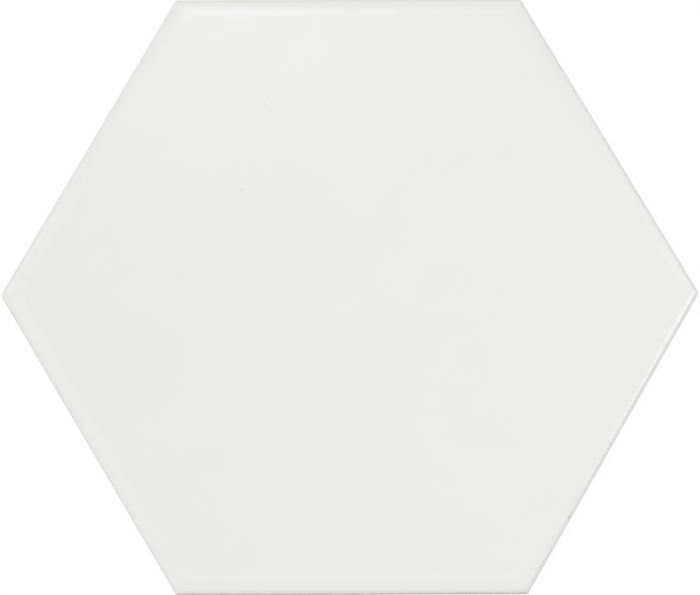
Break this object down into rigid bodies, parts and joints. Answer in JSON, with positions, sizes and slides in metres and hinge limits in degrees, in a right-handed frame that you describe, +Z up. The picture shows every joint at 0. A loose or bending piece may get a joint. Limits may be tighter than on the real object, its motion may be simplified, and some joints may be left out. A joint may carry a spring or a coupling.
{
  "type": "hexagon floor tile",
  "caption": "Hexagonal glazed floor tile with a soft glazed rim, drafted sides and a honeycomb key pressed into its back.",
  "frame": {"origin": "centre of the plane that the back rests on", "axes": "+Z up out of the glazed face, X through two opposite corners, Y square to two opposite sides"},
  "size_m": [0.1996, 0.1732, 0.008],
  "materials": {
    "glaze": "white satin-gloss glaze over pressed and fired pale clay"
  },
  "bodies": {
    "root": {"hexagon_tile": "glaze"}
  },
  "joints": []
}
